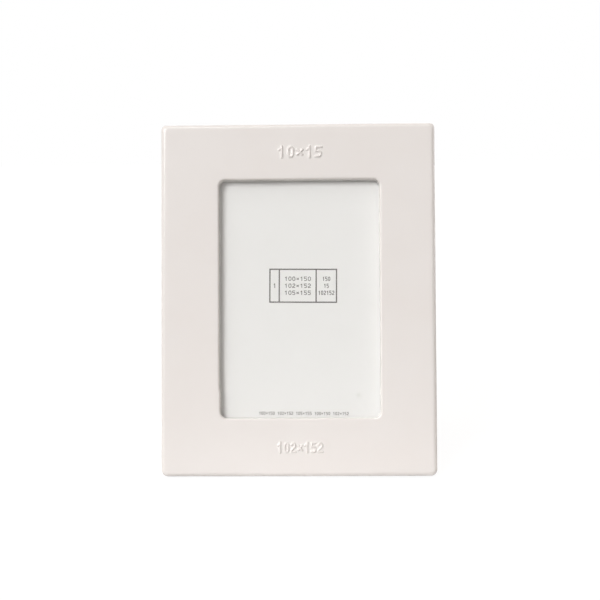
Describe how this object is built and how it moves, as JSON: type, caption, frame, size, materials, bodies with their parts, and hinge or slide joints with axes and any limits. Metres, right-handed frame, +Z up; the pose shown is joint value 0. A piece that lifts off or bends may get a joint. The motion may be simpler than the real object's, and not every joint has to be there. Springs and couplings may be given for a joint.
{
  "type": "ceramic postcard frame",
  "caption": "Thick glazed ceramic table frame for a 102 x 152 mm postcard, glass front, hardboard back with turn buttons and a hinged easel strut.",
  "frame": {"origin": "on the table, inside the ground land of the ceramic body's lower back edge, at the middle of the body's width", "axes": "+Z up, +Y away from the viewer towards the strut, +X to the right seen from the front; the picture faces -Y"},
  "size_m": [0.172, 0.0724, 0.2171],
  "materials": {
    "ceramic_glaze": "satin",
    "picture_glass": "gloss",
    "card_paper": "matte",
    "hardboard": "matte",
    "hinge_steel": "satin",
    "rivet_steel": "satin",
    "button_brass": "satin",
    "screw_steel": "satin",
    "washer_fibre": "matte",
    "plug_nylon": "satin"
  },
  "bodies": {
    "frame": {"ceramic_frame": "ceramic_glaze", "glass_pane": "picture_glass", "insert_card": "card_paper", "backing_board": "hardboard", "hinge_board_leaf": "hinge_steel", "hinge_board_rivets": "rivet_steel", "hinge_pin": "hinge_steel", "turn_button_screws": "screw_steel", "turn_button_washers": "washer_fibre", "anchor_plugs": "plug_nylon"},
    "strut": {"easel_strut": "hardboard", "hinge_strut_leaf": "hinge_steel", "hinge_strut_rivets": "rivet_steel"},
    "button_top": {"turn_button_top": "button_brass"},
    "button_right": {"turn_button_right": "button_brass"},
    "button_bottom": {"turn_button_bottom": "button_brass"},
    "button_left": {"turn_button_left": "button_brass"}
  },
  "joints": [
    {"name": "strut_fold", "type": "hinge", "parent": "frame", "child": "strut", "pos_m": [0.0009, 0.03012, 0.13785], "axis": [1, 0, 0], "range_deg": [-22.1, 0]},
    {"name": "button_top_turn", "type": "hinge", "parent": "frame", "child": "button_top", "pos_m": [0.0009, 0.03878, 0.18845], "axis": [0, 0.9781, -0.2079], "range_deg": [-90, 90]},
    {"name": "button_right_turn", "type": "hinge", "parent": "frame", "child": "button_right", "pos_m": [0.0582, 0.02167, 0.10795], "axis": [0, 0.9781, -0.2079], "range_deg": [-90, 90]},
    {"name": "button_bottom_turn", "type": "hinge", "parent": "frame", "child": "button_bottom", "pos_m": [0.0009, 0.00456, 0.02745], "axis": [0, 0.9781, -0.2079], "range_deg": [-90, 90]},
    {"name": "button_left_turn", "type": "hinge", "parent": "frame", "child": "button_left", "pos_m": [-0.0564, 0.02167, 0.10795], "axis": [0, 0.9781, -0.2079], "range_deg": [-90, 90]}
  ]
}
